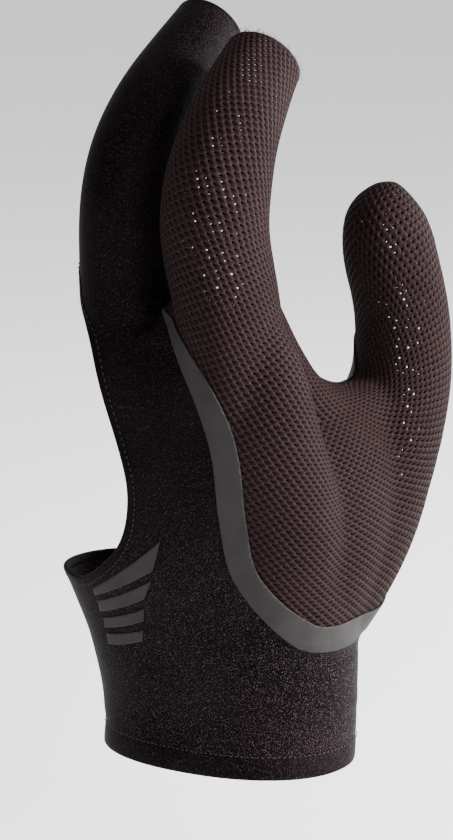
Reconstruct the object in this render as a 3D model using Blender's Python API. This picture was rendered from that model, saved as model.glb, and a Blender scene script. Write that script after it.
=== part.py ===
"""A three-finger billiard glove for the left hand, in the shape that it has when worn.

The thumb is covered to its tip, the index and middle sleeves are open at the end, and
the ring and little fingers stay bare beside a large opening.
Metres, +Z up the hand, +X towards the thumb, -Y on the back of the hand.
The origin is the centre of the wrist opening.
"""

import math

import bmesh
import bpy
from mathutils import Matrix, Vector

# Wrist and palm
WRIST_WIDTH = 0.066
WRIST_DEPTH = 0.047
PALM_WIDTH = 0.088
PALM_DEPTH = 0.034
KNUCKLE_HEIGHT = 0.108
KNUCKLE_LEAN = 0.034

# Fingers, measured over the fabric at their widest
FINGER_GAP = 0.0034
PARTING_X = 0.0055
CROTCH_HEIGHT = 0.119
MIDDLE_WIDTH = 0.0240
MIDDLE_DEPTH = 0.0260
MIDDLE_REACH = 0.0715
INDEX_WIDTH = 0.0245
INDEX_DEPTH = 0.0265
INDEX_REACH = 0.0665
THUMB_WIDTH = 0.0240
THUMB_DEPTH = 0.0235
THUMB_HEIGHT = 0.1425
THUMB_OUT = 0.034
THUMB_FORWARD = 0.027
THENAR_WIDTH = 0.035
WEB_HEIGHT = 0.095
WEB_THICKNESS = 0.014

# Fabric
WALL = 0.0012
PIECE_GAP = 0.0003
BAND_WIDTH = 0.0062
BAND_RISE = 0.0003
BINDING_WIDTH = 0.0026
BINDING_RISE = 0.0004
HEM_HEIGHT = 0.0062
HEM_RISE = 0.0004
STRIPE_THICKNESS = 0.0005

# Past every side of the glove, for the blocks that cut it
REACH = 0.3
TIP_BLOCK = 0.04

# Fineness of the faceted solids
LIMB_SIDES = 32
RING_STEP = 0.004
VOXEL = 0.0013
SMOOTH_ROUNDS = 14
FORM_TRIANGLES = 3400
CURVE_STEPS = 4
SHARP_ANGLE = 40


def row(columns, values):
    return dict(zip(columns, values))


def table(columns, *lines):
    """Rows with named columns."""
    return [row(columns, values) for values in lines]


def between(rows, place):
    """The row at a place from 0, the first, to len(rows) - 1, the last, on a smooth curve through all."""
    first = min(int(place), len(rows) - 2)
    share = place - first
    around = [rows[min(max(first + step, 0), len(rows) - 1)] for step in (-1, 0, 1, 2)]
    mixed = {}
    for key in rows[0]:
        before, start, end, after = (each[key] for each in around)
        bend = 2 * before - 5 * start + 4 * end - after
        twist = 3 * (start - end) + after - before
        mixed[key] = start + 0.5 * share * (end - before + share * (bend + share * twist))
    return mixed


def sampled(rows, reach):
    """Rows close enough together that rings on them are about RING_STEP apart."""
    found = []
    for first in range(len(rows) - 1):
        run = (reach(rows[first + 1]) - reach(rows[first])).length
        steps = max(1, round(run / RING_STEP))
        found += [between(rows, first + step / steps) for step in range(steps)]
    return found + [rows[-1]]


def new_object(name, bm):
    mesh = bpy.data.meshes.new(name)
    bm.to_mesh(mesh)
    bm.free()
    found = bpy.data.objects.new(name, mesh)
    bpy.context.scene.collection.objects.link(found)
    return found


def add_limb(bm, rows):
    """A closed tube through sections with columns x, y, z, wide, deep, turn and square."""
    rows = sampled(rows, lambda r: Vector((r["x"], r["y"], r["z"])))
    centres = [Vector((r["x"], r["y"], r["z"])) for r in rows]
    rings = []
    for number, section in enumerate(rows):
        along = (centres[min(number + 1, len(rows) - 1)] - centres[max(number - 1, 0)]).normalized()
        across = Matrix.Rotation(math.radians(section["turn"]), 3, "Z") @ Vector((1, 0, 0))
        across = (across - along * across.dot(along)).normalized()
        through = along.cross(across)
        ring = bmesh.ops.create_circle(bm, segments=LIMB_SIDES, radius=1)["verts"]
        for vert in ring:
            flat = vert.co.copy()
            rounder = 2 / section["square"]
            wide = math.copysign(abs(flat.x) ** rounder, flat.x) * section["wide"] / 2
            deep = math.copysign(abs(flat.y) ** rounder, flat.y) * section["deep"] / 2
            vert.co = centres[number] + across * wide + through * deep
        rings.append(ring)
    for lower, upper in zip(rings, rings[1:]):
        edges = {e for vert in lower + upper for e in vert.link_edges}
        edges = [e for e in edges if set(e.verts) <= set(lower) or set(e.verts) <= set(upper)]
        bmesh.ops.bridge_loops(bm, edges=edges)
    bm.faces.new(rings[0])
    bm.faces.new(rings[-1])


SECTION = ("x", "y", "z", "wide", "deep", "turn", "square")


def palm_rows():
    """Wrist and palm. Shares of the knuckles' height and lean, and of the wrist's and the palm's sizes."""
    columns = ("height", "lean", "side", "wide", "deep", "square")
    shares = table(
        columns,
        (-0.16, 0.00, 0.00, 1.00, 1.00, 2.2),
        (0.00, 0.00, 0.00, 1.00, 1.00, 2.2),
        (0.14, 0.00, 0.00, 1.02, 1.00, 2.2),
        (0.27, 0.06, -0.002, 1.07, 1.01, 2.2),
        (0.36, 0.15, -0.004, 1.11, 0.98, 2.2),
        (0.46, 0.28, -0.015, 1.17, 0.90, 2.2),
        (0.60, 0.48, -0.02, 1.26, 0.82, 2.3),
        (0.80, 0.76, -0.03, 1.29, 0.73, 2.3),
        (0.94, 0.90, -0.035, 1.26, 0.64, 2.3),
        (1.05, 0.96, -0.05, 1.12, 0.44, 2.2),
    )
    rows = []
    for s in shares:
        palm = min(max((s["wide"] - 1) * WRIST_WIDTH / (PALM_WIDTH - WRIST_WIDTH), 0), 1)
        deep = WRIST_DEPTH * s["deep"] * (1 - palm) + PALM_DEPTH * s["deep"] / 0.70 * palm
        values = (
            PALM_WIDTH * s["side"],
            -KNUCKLE_LEAN * s["lean"],
            KNUCKLE_HEIGHT * s["height"],
            WRIST_WIDTH * s["wide"],
            deep,
            0,
            s["square"],
        )
        rows.append(row(SECTION, values))
    return rows


def finger_rows(side, width, depth, reach, shares):
    """A finger on one side of the parting. Shares of its reach past the knuckles and of its sizes."""
    rows = []
    for s in shares:
        out = FINGER_GAP / 2 + width / 2 - width * s["closer"]
        values = (
            PARTING_X + side * out,
            -KNUCKLE_LEAN + reach * s["forward"],
            KNUCKLE_HEIGHT + reach * s["up"],
            width * s["wide"],
            depth * s["deep"],
            0,
            2,
        )
        rows.append(row(SECTION, values))
    return rows


FINGER = ("up", "forward", "closer", "wide", "deep")
INDEX = table(
    FINGER,
    (-0.36, 0.105, 0.00, 0.84, 0.88),
    (-0.15, 0.040, -0.10, 0.96, 0.98),
    (0.135, -0.010, -0.09, 0.98, 1.00),
    (0.39, -0.042, 0.00, 1.01, 1.02),
    (0.51, -0.050, 0.00, 1.02, 1.02),
    (0.625, -0.022, 0.00, 1.00, 1.00),
    (0.752, 0.048, 0.01, 0.94, 0.92),
    (0.872, 0.165, 0.04, 0.86, 0.84),
    (1.00, 0.316, 0.07, 0.76, 0.74),
    (1.12, 0.480, 0.09, 0.70, 0.68),
)
MIDDLE = table(
    FINGER,
    (-0.336, 0.140, 0.10, 0.84, 0.86),
    (-0.154, 0.091, 0.03, 0.96, 0.98),
    (0.056, 0.056, 0.00, 1.00, 1.00),
    (0.28, 0.045, 0.00, 1.00, 1.00),
    (0.434, 0.049, 0.00, 1.00, 1.00),
    (0.56, 0.073, 0.01, 0.98, 0.98),
    (0.671, 0.123, 0.03, 0.94, 0.94),
    (0.783, 0.210, 0.06, 0.88, 0.88),
    (0.888, 0.336, 0.08, 0.82, 0.80),
    (1.00, 0.484, 0.10, 0.74, 0.72),
    (1.11, 0.640, 0.12, 0.70, 0.68),
)


def thumb_rows():
    """Ball and thumb. Shares of the thumb's height, its place and its sizes."""
    columns = ("height", "out", "forward", "wide", "deep", "ball")
    shares = table(
        columns,
        (0.15, 0.40, 0.00, 0.66, 0.60, 1),
        (0.30, 0.60, 0.28, 0.92, 0.90, 1),
        (0.40, 0.72, 0.53, 0.98, 0.96, 1),
        (0.50, 0.82, 0.76, 0.92, 0.90, 1),
        (0.59, 0.93, 0.92, 0.78, 0.78, 1),
        (0.67, 0.99, 0.99, 1.02, 1.03, 0),
        (0.76, 0.99, 0.97, 0.99, 0.99, 0),
        (0.82, 0.98, 0.89, 0.97, 0.97, 0),
        (0.87, 0.96, 0.81, 0.97, 0.97, 0),
        (0.915, 0.95, 0.75, 0.92, 0.92, 0),
        (0.952, 0.945, 0.73, 0.80, 0.78, 0),
        (0.982, 0.945, 0.74, 0.54, 0.52, 0),
        (1.00, 0.945, 0.745, 0.24, 0.22, 0),
    )
    rows = []
    for s in shares:
        width = THENAR_WIDTH if s["ball"] else THUMB_WIDTH
        depth = THENAR_WIDTH if s["ball"] else THUMB_DEPTH
        values = (
            THUMB_OUT * s["out"],
            THUMB_FORWARD * s["forward"],
            THUMB_HEIGHT * s["height"],
            width * s["wide"],
            depth * s["deep"],
            0,
            2,
        )
        rows.append(row(SECTION, values))
    return rows


def crotch_rows():
    """The low fill between the index and middle fingers. Shares of its height, the lean and the gap."""
    columns = ("height", "lean", "side", "wide", "deep")
    shares = table(
        columns,
        (0.78, 0.84, 0.2, 3.8, 6.4),
        (0.90, 0.94, 0.5, 3.4, 6.0),
        (0.97, 0.98, 0.7, 2.9, 5.4),
        (1.01, 1.00, 0.8, 2.0, 3.8),
    )
    rows = []
    for s in shares:
        values = (
            PARTING_X + FINGER_GAP * s["side"],
            -KNUCKLE_LEAN * s["lean"],
            CROTCH_HEIGHT * s["height"],
            FINGER_GAP * s["wide"],
            FINGER_GAP * s["deep"],
            0,
            2,
        )
        rows.append(row(SECTION, values))
    return rows


def web_rows():
    """The fold from the index finger to the thumb, as its thick edge and the sheet below it.

    Shares of the height of the fold's lowest point, of the thumb's place and of the fold's thickness.
    """
    columns = ("height", "out", "forward", "wide", "deep", "turn")
    edge = table(
        columns,
        (1.33, 0.62, -1.08, 0.80, 0.80, 0),
        (1.21, 0.66, -0.86, 0.90, 0.90, 0),
        (1.09, 0.69, -0.59, 0.95, 0.95, 0),
        (0.98, 0.73, -0.25, 1.00, 1.00, 0),
        (0.91, 0.80, 0.22, 1.05, 1.05, 0),
        (0.88, 0.88, 0.66, 1.10, 1.10, 0),
    )
    sheet = table(
        columns,
        (0.30, 0.50, -0.10, 1.90, 1.30, 70),
        (0.50, 0.60, 0.00, 2.50, 1.50, 72),
        (0.68, 0.68, 0.04, 2.90, 1.45, 74),
        (0.84, 0.74, 0.04, 2.90, 1.15, 76),
        (0.93, 0.77, 0.04, 2.30, 0.80, 78),
    )
    for shares in (edge, sheet):
        rows = []
        for s in shares:
            values = (
                THUMB_OUT * s["out"],
                THUMB_FORWARD * s["forward"],
                WEB_HEIGHT * s["height"],
                WEB_THICKNESS * s["wide"],
                WEB_THICKNESS * s["deep"],
                s["turn"],
                2,
            )
            rows.append(row(SECTION, values))
        yield rows


def modifier(target, kind, **settings):
    found = target.modifiers.new(kind.lower(), kind)
    for key, value in settings.items():
        setattr(found, key, value)
    return found


def apply_modifiers(target):
    graph = bpy.context.evaluated_depsgraph_get()
    mesh = bpy.data.meshes.new_from_object(target.evaluated_get(graph))
    target.modifiers.clear()
    target.data = mesh


def hand_form():
    """The outside of the fabric as one closed, smooth form, with every opening still closed."""
    bm = bmesh.new()
    add_limb(bm, palm_rows())
    add_limb(bm, finger_rows(1, INDEX_WIDTH, INDEX_DEPTH, INDEX_REACH, INDEX))
    add_limb(bm, finger_rows(-1, MIDDLE_WIDTH, MIDDLE_DEPTH, MIDDLE_REACH, MIDDLE))
    add_limb(bm, thumb_rows())
    add_limb(bm, crotch_rows())
    for rows in web_rows():
        add_limb(bm, rows)
    bmesh.ops.recalc_face_normals(bm, faces=bm.faces)
    form = new_object("hand_form", bm)
    modifier(form, "REMESH", mode="VOXEL", voxel_size=VOXEL, use_smooth_shade=True)
    modifier(form, "SMOOTH", factor=0.5, iterations=SMOOTH_ROUNDS)
    apply_modifiers(form)
    modifier(form, "DECIMATE", ratio=FORM_TRIANGLES / (2 * len(form.data.polygons)))
    apply_modifiers(form)
    return form


EDGE = ("side", "height", "wide")
SEAM = table(
    EDGE,
    (0.045, 1.095, 0.08),
    (0.235, 1.025, 0.72),
    (0.416, 0.917, 1.00),
    (0.486, 0.787, 1.00),
    (0.460, 0.639, 1.00),
    (0.460, 0.505, 1.00),
    (0.618, 0.385, 1.00),
    (0.818, 0.326, 1.00),
    (1.420, 0.296, 1.00),
)
CUTOUT = table(
    EDGE,
    (-1.70, 0.440, 1.00),
    (-0.92, 0.428, 1.00),
    (-0.779, 0.435, 1.00),
    (-0.582, 0.479, 1.00),
    (-0.416, 0.532, 1.00),
    (-0.299, 0.602, 1.00),
    (-0.231, 0.694, 1.00),
    (-0.252, 0.796, 1.00),
    (-0.322, 0.894, 1.00),
    (-0.442, 1.005, 1.00),
    (-0.584, 1.083, 1.00),
    (-0.720, 1.165, 1.00),
    (-1.70, 1.200, 1.00),
)
STRIPES = table(
    ("left", "low", "high", "right", "rise", "tip", "top"),
    (-0.66, 0.393, 0.411, -0.03, 0.488, 0.09, 0.565),
    (-0.64, 0.354, 0.381, -0.16, 0.412, -0.06, 0.462),
    (-0.62, 0.315, 0.340, -0.20, 0.356, -0.18, 0.387),
    (-0.61, 0.274, 0.301, -0.24, 0.305, -0.22, 0.332),
)
STRIPE_SAG = 0.03


def curve(rows):
    """A smooth line of x, z and wide through rows of shares, from the parting to the palm's edge."""
    span = PALM_WIDTH / 2 - PARTING_X
    points = []
    for step in range((len(rows) - 1) * CURVE_STEPS + 1):
        share = between(rows, step / CURVE_STEPS)
        x = PARTING_X + span * share["side"]
        points.append({"x": x, "z": KNUCKLE_HEIGHT * share["height"], "wide": share["wide"]})
    return points


def beside(points, half, extra):
    """The line moved sideways, to the left of its run for positive values, by half its width and more."""
    moved = []
    for number, here in enumerate(points):
        after = points[min(number + 1, len(points) - 1)]
        before = points[max(number - 1, 0)]
        run = Vector((after["x"] - before["x"], after["z"] - before["z"])).normalized()
        away = half * here["wide"] + extra
        moved.append((here["x"] - run.y * away, here["z"] + run.x * away))
    return moved


def hidden(cutter):
    cutter.hide_render = True
    cutter.display_type = "WIRE"
    return cutter


def outline_cutter(name, points, front=-REACH, back=REACH):
    """A prism along Y, from an outline of x and z as they stand on the back of the hand."""
    bm = bmesh.new()
    face = bm.faces.new([bm.verts.new((x, front, z)) for x, z in points])
    grown = bmesh.ops.extrude_face_region(bm, geom=[face])["geom"]
    far = [part for part in grown if isinstance(part, bmesh.types.BMVert)]
    bmesh.ops.translate(bm, verts=far, vec=(0, back - front, 0))
    bmesh.ops.recalc_face_normals(bm, faces=bm.faces)
    return hidden(new_object(name, bm))


def level_cutter(name, low, high):
    corners = [(-REACH, low), (REACH, low), (REACH, high), (-REACH, high)]
    return outline_cutter(name, corners)


def tip_cutter(name, rows, low, high):
    """A block between two values of x that takes off what a finger has past its opening."""
    before, opening, after = (Vector((r["x"], r["y"], r["z"])) for r in rows[-3:])
    along = Vector((0, 0, 1)).rotation_difference((after - before).normalized())
    bm = bmesh.new()
    bmesh.ops.create_cube(bm, size=TIP_BLOCK)
    bmesh.ops.scale(bm, vec=((high - low) / TIP_BLOCK, 1, 1), verts=bm.verts)
    bmesh.ops.translate(bm, vec=(0, 0, TIP_BLOCK / 2), verts=bm.verts)
    bmesh.ops.rotate(bm, matrix=along.to_matrix(), verts=bm.verts)
    bmesh.ops.translate(bm, vec=((low + high) / 2, opening.y, opening.z), verts=bm.verts)
    return hidden(new_object(name, bm))


def fabric(name, colour, roughness):
    material = bpy.data.materials.new(name)
    material.use_nodes = True
    shader = material.node_tree.nodes["Principled BSDF"]
    shader.inputs["Base Color"].default_value = (*colour, 1)
    shader.inputs["Roughness"].default_value = roughness
    shader.inputs["Metallic"].default_value = 0
    return material


def swollen(name, form, distance):
    """The form with its surface moved outwards, or inwards for a negative distance."""
    found = bpy.data.objects.new(name, form.data.copy())
    bpy.context.scene.collection.objects.link(found)
    modifier(found, "DISPLACE", strength=distance, mid_level=0)
    return found


def piece(name, form, material, proud, depth, keep=(), drop=()):
    """A piece of the form's wall, from proud outside its surface to depth inside it."""
    shell = swollen(name, form, proud)
    hollow = hidden(swollen(f"{name}_hollow", form, -depth))
    for cutter in keep:
        modifier(shell, "BOOLEAN", operation="INTERSECT", object=cutter, solver="EXACT")
    for cutter in (*drop, hollow):
        modifier(shell, "BOOLEAN", operation="DIFFERENCE", object=cutter, solver="EXACT")
    apply_modifiers(shell)
    bpy.data.objects.remove(hollow)
    shell.data.materials.clear()
    shell.data.materials.append(material)
    shell.data.shade_smooth()
    shell.data.set_sharp_from_angle(angle=math.radians(SHARP_ANGLE))
    return shell


def seam_cutters():
    """The band, all that the lycra leaves to the band and the mesh, and all that the mesh holds."""
    line = curve(SEAM)
    half = BAND_WIDTH / 2
    top = [(REACH, REACH), (PARTING_X, REACH), (PARTING_X, CROTCH_HEIGHT + BAND_WIDTH)]
    left = [(x - PIECE_GAP / 2, z) for x, z in top[1:]]
    right = [(x + PIECE_GAP / 2, z) for x, z in top[1:]]
    band = beside(line, half, 0) + beside(line, -half, 0)[::-1]
    not_lycra = beside(line, -half, -PIECE_GAP) + top[:1] + left
    mesh = beside(line, half, PIECE_GAP) + top[:1] + right
    return (
        outline_cutter("band_cutter", band),
        outline_cutter("lycra_cutter", not_lycra),
        outline_cutter("mesh_cutter", mesh),
    )


def cutout_cutters():
    """The strip along the edge of the opening for two fingers, and the opening with that strip."""
    line = curve(CUTOUT)
    strip = beside(line, 0, 0) + beside(line, 0, -BINDING_WIDTH)[::-1]
    return (
        outline_cutter("binding_cutter", strip),
        outline_cutter("opening_cutter", beside(line, 0, -BINDING_WIDTH - PIECE_GAP)),
    )


def stripe_outline(stripe):
    """A strip that sags a little, cut square at its left end and drawn up to a point at the right."""
    half = WRIST_WIDTH / 2

    def edge(start, end):
        points = []
        for step in range(CURVE_STEPS + 1):
            share = step / CURVE_STEPS
            drop = STRIPE_SAG * (end[0] - start[0]) * 4 * share * (1 - share)
            x = start[0] + (end[0] - start[0]) * share
            points.append((x, start[1] + (end[1] - start[1]) * share - drop))
        return points

    lower = edge(
        (half * stripe["left"], KNUCKLE_HEIGHT * stripe["low"]),
        (half * stripe["right"], KNUCKLE_HEIGHT * stripe["rise"]),
    )
    upper = edge(
        (half * stripe["left"], KNUCKLE_HEIGHT * stripe["high"]),
        (half * stripe["tip"], KNUCKLE_HEIGHT * stripe["top"]),
    )
    return lower + upper[::-1]


def clear_scene():
    for old in list(bpy.data.objects):
        bpy.data.objects.remove(old)


def main():
    clear_scene()
    form = hand_form()
    band, lycra_cut, mesh_cut = seam_cutters()
    binding, opening = cutout_cutters()
    hem = level_cutter("hem_cutter", 0, HEM_HEIGHT)
    below_lycra = level_cutter("lycra_foot_cutter", -REACH, HEM_HEIGHT + PIECE_GAP)
    index = finger_rows(1, INDEX_WIDTH, INDEX_DEPTH, INDEX_REACH, INDEX)
    middle = finger_rows(-1, MIDDLE_WIDTH, MIDDLE_DEPTH, MIDDLE_REACH, MIDDLE)
    index_tip = tip_cutter("index_tip_cutter", index, PARTING_X, PARTING_X + 2 * INDEX_WIDTH)
    middle_tip = tip_cutter("middle_tip_cutter", middle, PARTING_X - 2 * MIDDLE_WIDTH, PARTING_X)

    lycra = fabric("black_lycra", (0.012, 0.011, 0.013), 0.55)
    knit = fabric("mesh_knit", (0.030, 0.022, 0.023), 0.85)
    tape = fabric("grey_tape", (0.075, 0.070, 0.070), 0.60)

    lycra_drop = (lycra_cut, opening, below_lycra, middle_tip)
    piece("lycra_body", form, lycra, 0, WALL, drop=lycra_drop)
    piece("mesh_panel", form, knit, 0, WALL, keep=(mesh_cut,), drop=(index_tip,))
    piece("seam_band", form, tape, BAND_RISE, WALL, keep=(band,))
    piece("cutout_binding", form, lycra, BINDING_RISE, WALL, keep=(binding,))
    piece("cuff_hem", form, lycra, HEM_RISE, WALL, keep=(hem,))
    for number, stripe in enumerate(STRIPES):
        shape = outline_cutter(f"stripe_cutter_{number + 1}", stripe_outline(stripe), back=0)
        proud = PIECE_GAP + STRIPE_THICKNESS
        piece(f"stripe_{number + 1}", form, tape, proud, -PIECE_GAP, keep=(shape,))
    bpy.data.objects.remove(form)


main()
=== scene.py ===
import math
import random

import bmesh
import bpy
from mathutils import Matrix, Vector
from mathutils.bvhtree import BVHTree


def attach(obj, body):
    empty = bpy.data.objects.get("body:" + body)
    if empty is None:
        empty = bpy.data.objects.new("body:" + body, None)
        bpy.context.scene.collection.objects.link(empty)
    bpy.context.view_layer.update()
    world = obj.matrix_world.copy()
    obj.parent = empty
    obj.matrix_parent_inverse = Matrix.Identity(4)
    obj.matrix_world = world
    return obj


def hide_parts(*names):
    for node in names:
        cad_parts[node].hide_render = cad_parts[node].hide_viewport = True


print("frame")
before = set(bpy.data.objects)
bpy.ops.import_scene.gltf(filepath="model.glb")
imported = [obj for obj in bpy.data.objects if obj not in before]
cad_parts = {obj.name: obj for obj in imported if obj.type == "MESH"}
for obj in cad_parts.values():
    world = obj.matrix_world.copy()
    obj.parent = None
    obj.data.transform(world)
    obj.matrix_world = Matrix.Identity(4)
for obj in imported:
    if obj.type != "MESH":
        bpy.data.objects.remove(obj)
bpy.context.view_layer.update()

# everything below is in metres, +X towards the thumb, -Y on the back of the hand

wrist = {"width": 0.066, "depth": 0.047}
palm = {"width": 0.088, "depth": 0.034, "knuckleHeight": 0.108, "knuckleLean": 0.034}
parting = {"x": 0.0055, "gap": 0.0034, "crotchHeight": 0.119}
middleFinger = {"side": -1, "width": 0.0240, "depth": 0.0260, "reach": 0.0715}
indexFinger = {"side": 1, "width": 0.0245, "depth": 0.0265, "reach": 0.0665}
thumb = {
    "width": 0.0240,
    "depth": 0.0235,
    "height": 0.1425,
    "out": 0.034,
    "forward": 0.027,
    "ball": 0.035,
}
webFold = {"height": 0.095, "thickness": 0.014}
skin = {"sides": 64, "ringStep": 0.002, "voxel": 0.0008, "rounds": 37}

limbColumns = ("x", "y", "z", "wide", "deep", "turn", "square")


def table(columns, *lines):
    return [dict(zip(columns, values)) for values in lines]


def between(rows, place):
    first = min(int(place), len(rows) - 2)
    share = place - first
    around = [rows[min(max(first + step, 0), len(rows) - 1)] for step in (-1, 0, 1, 2)]
    mixed = {}
    for key in rows[0]:
        before, start, end, after = (each[key] for each in around)
        bend = 2 * before - 5 * start + 4 * end - after
        twist = 3 * (start - end) + after - before
        mixed[key] = start + 0.5 * share * (end - before + share * (bend + share * twist))
    return mixed


def rowPoint(row):
    return Vector((row["x"], row["y"], row["z"]))


def sampled(rows, step):
    found = []
    for first in range(len(rows) - 1):
        run = (rowPoint(rows[first + 1]) - rowPoint(rows[first])).length
        steps = max(1, round(run / step))
        found += [between(rows, first + part / steps) for part in range(steps)]
    return found + [rows[-1]]


def newObject(name, bm):
    mesh = bpy.data.meshes.new(name)
    bm.to_mesh(mesh)
    bm.free()
    made = bpy.data.objects.new(name, mesh)
    bpy.context.scene.collection.objects.link(made)
    return made


def modifier(target, kind, **settings):
    made = target.modifiers.new(kind.lower(), kind)
    for key, value in settings.items():
        setattr(made, key, value)
    return made


def applyModifiers(target):
    graph = bpy.context.evaluated_depsgraph_get()
    mesh = bpy.data.meshes.new_from_object(target.evaluated_get(graph))
    target.modifiers.clear()
    target.data = mesh


def bridge(bm, lower, upper):
    edges = {e for vert in lower + upper for e in vert.link_edges}
    edges = [e for e in edges if set(e.verts) <= set(lower) or set(e.verts) <= set(upper)]
    bmesh.ops.bridge_loops(bm, edges=edges)


# the form under all the cloth: tubes of superellipse rings for palm, fingers, thumb and web


def addLimb(bm, rows):
    rows = sampled(rows, skin["ringStep"])
    centres = [rowPoint(row) for row in rows]
    rings = []
    for number, section in enumerate(rows):
        along = (centres[min(number + 1, len(rows) - 1)] - centres[max(number - 1, 0)]).normalized()
        across = Matrix.Rotation(math.radians(section["turn"]), 3, "Z") @ Vector((1, 0, 0))
        across = (across - along * across.dot(along)).normalized()
        through = along.cross(across)
        ring = bmesh.ops.create_circle(bm, segments=skin["sides"], radius=1)["verts"]
        for vert in ring:
            flat = vert.co.copy()
            rounder = 2 / section["square"]
            wide = math.copysign(abs(flat.x) ** rounder, flat.x) * section["wide"] / 2
            deep = math.copysign(abs(flat.y) ** rounder, flat.y) * section["deep"] / 2
            vert.co = centres[number] + across * wide + through * deep
        rings.append(ring)
    for lower, upper in zip(rings, rings[1:]):
        bridge(bm, lower, upper)
    bm.faces.new(rings[0])
    bm.faces.new(rings[-1])


def palmRows():
    shares = table(
        ("height", "lean", "side", "palm", "deep", "square"),
        (-0.16, 0.00, 0.000, 0.00, 1.000, 2.2),
        (0.00, 0.00, 0.000, 0.00, 1.000, 2.2),
        (0.14, 0.00, 0.000, 0.06, 1.019, 2.2),
        (0.27, 0.06, -0.002, 0.21, 1.080, 2.2),
        (0.36, 0.15, -0.004, 0.33, 1.090, 2.2),
        (0.46, 0.28, -0.015, 0.51, 1.066, 2.2),
        (0.60, 0.48, -0.020, 0.78, 1.073, 2.3),
        (0.80, 0.76, -0.030, 0.87, 0.989, 2.3),
        (0.94, 0.90, -0.035, 0.78, 0.837, 2.3),
        (1.05, 0.96, -0.050, 0.36, 0.495, 2.2),
    )
    rows = []
    for s in shares:
        width = wrist["width"] + (palm["width"] - wrist["width"]) * s["palm"]
        depth = wrist["depth"] + (palm["depth"] - wrist["depth"]) * s["palm"]
        place = (
            palm["width"] * s["side"],
            -palm["knuckleLean"] * s["lean"],
            palm["knuckleHeight"] * s["height"],
        )
        rows.append(dict(zip(limbColumns, (*place, width, depth * s["deep"], 0, s["square"]))))
    return rows


fingerColumns = ("up", "forward", "closer", "wide", "deep")
indexShares = table(
    fingerColumns,
    (-0.36, 0.105, 0.00, 0.84, 0.88),
    (-0.15, 0.040, -0.10, 0.96, 0.98),
    (0.135, -0.010, -0.09, 0.98, 1.00),
    (0.39, -0.042, 0.00, 1.01, 1.02),
    (0.51, -0.050, 0.00, 1.02, 1.02),
    (0.625, -0.022, 0.00, 1.00, 1.00),
    (0.752, 0.048, 0.01, 0.94, 0.92),
    (0.872, 0.165, 0.04, 0.86, 0.84),
    (1.00, 0.316, 0.07, 0.76, 0.74),
    (1.12, 0.480, 0.09, 0.70, 0.68),
)
middleShares = table(
    fingerColumns,
    (-0.336, 0.140, 0.10, 0.84, 0.86),
    (-0.154, 0.091, 0.03, 0.96, 0.98),
    (0.056, 0.056, 0.00, 1.00, 1.00),
    (0.28, 0.045, 0.00, 1.00, 1.00),
    (0.434, 0.049, 0.00, 1.00, 1.00),
    (0.56, 0.073, 0.01, 0.98, 0.98),
    (0.671, 0.123, 0.03, 0.94, 0.94),
    (0.783, 0.210, 0.06, 0.88, 0.88),
    (0.888, 0.336, 0.08, 0.82, 0.80),
    (1.00, 0.484, 0.10, 0.74, 0.72),
    (1.11, 0.640, 0.12, 0.70, 0.68),
)


def fingerRows(finger, shares):
    rows = []
    for s in shares:
        out = parting["gap"] / 2 + finger["width"] / 2 - finger["width"] * s["closer"]
        place = (
            parting["x"] + finger["side"] * out,
            -palm["knuckleLean"] + finger["reach"] * s["forward"],
            palm["knuckleHeight"] + finger["reach"] * s["up"],
        )
        size = (finger["width"] * s["wide"], finger["depth"] * s["deep"])
        rows.append(dict(zip(limbColumns, (*place, *size, 0, 2))))
    return rows


def thumbRows():
    shares = table(
        ("height", "out", "forward", "wide", "deep", "ball"),
        (0.15, 0.40, 0.00, 0.66, 0.60, 1),
        (0.30, 0.60, 0.28, 0.92, 0.90, 1),
        (0.40, 0.72, 0.53, 0.98, 0.96, 1),
        (0.50, 0.82, 0.76, 0.92, 0.90, 1),
        (0.59, 0.93, 0.92, 0.78, 0.78, 1),
        (0.67, 0.99, 0.99, 1.02, 1.03, 0),
        (0.76, 0.99, 0.97, 0.99, 0.99, 0),
        (0.82, 0.98, 0.89, 0.97, 0.97, 0),
        (0.87, 0.96, 0.81, 0.97, 0.97, 0),
        (0.915, 0.95, 0.75, 0.92, 0.92, 0),
        (0.952, 0.945, 0.73, 0.80, 0.78, 0),
        (0.982, 0.945, 0.74, 0.54, 0.52, 0),
        (1.00, 0.945, 0.745, 0.24, 0.22, 0),
    )
    rows = []
    for s in shares:
        width = thumb["ball"] if s["ball"] else thumb["width"]
        depth = thumb["ball"] if s["ball"] else thumb["depth"]
        place = (thumb["out"] * s["out"], thumb["forward"] * s["forward"], thumb["height"] * s["height"])
        rows.append(dict(zip(limbColumns, (*place, width * s["wide"], depth * s["deep"], 0, 2))))
    return rows


def crotchRows():
    shares = table(
        ("height", "lean", "side", "wide", "deep"),
        (0.78, 0.84, 0.2, 3.8, 6.4),
        (0.90, 0.94, 0.5, 3.4, 6.0),
        (0.97, 0.98, 0.7, 2.9, 5.4),
        (1.01, 1.00, 0.8, 2.0, 3.8),
    )
    rows = []
    for s in shares:
        place = (
            parting["x"] + parting["gap"] * s["side"],
            -palm["knuckleLean"] * s["lean"],
            parting["crotchHeight"] * s["height"],
        )
        size = (parting["gap"] * s["wide"], parting["gap"] * s["deep"])
        rows.append(dict(zip(limbColumns, (*place, *size, 0, 2))))
    return rows


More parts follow.
